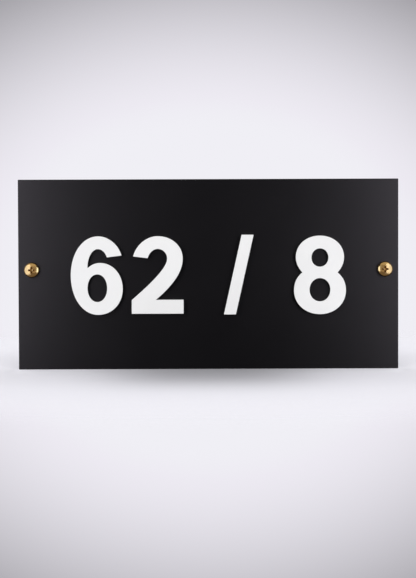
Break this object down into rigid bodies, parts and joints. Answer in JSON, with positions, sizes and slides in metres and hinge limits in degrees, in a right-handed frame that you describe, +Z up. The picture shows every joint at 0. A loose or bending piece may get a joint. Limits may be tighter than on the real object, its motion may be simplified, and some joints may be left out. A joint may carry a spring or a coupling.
{
  "type": "door name plate",
  "caption": "Flat rectangular acrylic door plate with raised glued numerals, fixed through its ends by brass pan-head screws.",
  "frame": {"origin": "centre of the plate's back face, which lies flat on the door or wall", "axes": "+Y into the wall, +Z up, +X to the right of someone who reads the plate, whose numerals face -Y"},
  "size_m": [0.2, 0.028, 0.1],
  "materials": {
    "plate_black": "black acrylic sheet with a fine satin face",
    "numeral_white": "white acrylic sheet, gloss face",
    "screw_brass": "bright brass with fine turning marks"
  },
  "bodies": {
    "root": {"plate": "plate_black", "numeral_six": "numeral_white", "numeral_two": "numeral_white", "slash_bar": "numeral_white", "numeral_eight": "numeral_white", "screw_left": "screw_brass", "screw_right": "screw_brass"}
  },
  "joints": []
}
